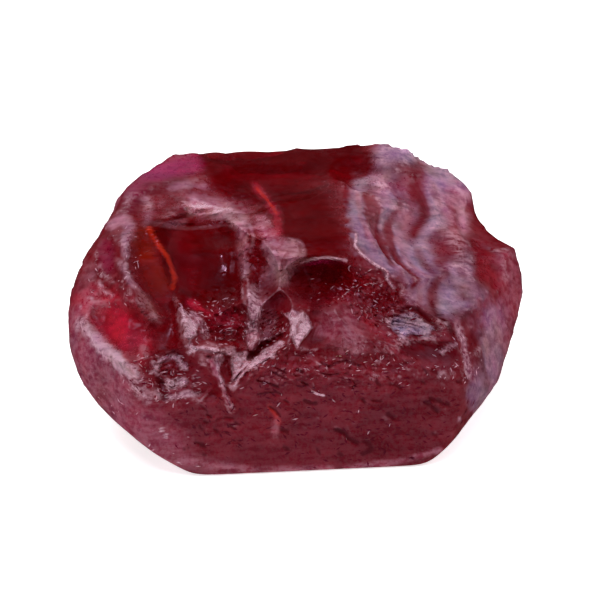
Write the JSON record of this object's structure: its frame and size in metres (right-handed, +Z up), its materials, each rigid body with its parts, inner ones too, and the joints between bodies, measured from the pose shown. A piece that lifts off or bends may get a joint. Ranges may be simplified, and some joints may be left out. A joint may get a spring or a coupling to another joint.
{
  "type": "rough ruby crystal",
  "caption": "Rough ruby: a broken, see-through red crystal with a flat base, frosted natural faces and shell-like hollows.",
  "frame": {"origin": "middle of the bounding box's bottom, on the surface that the stone rests on", "axes": "+Z up, +X along the stone's long side towards its tapered right end, +Y away from the frosted front face"},
  "size_m": [0.015, 0.0106, 0.007],
  "materials": {
    "ruby": "gloss"
  },
  "bodies": {
    "root": {"ruby": "ruby"}
  },
  "joints": []
}
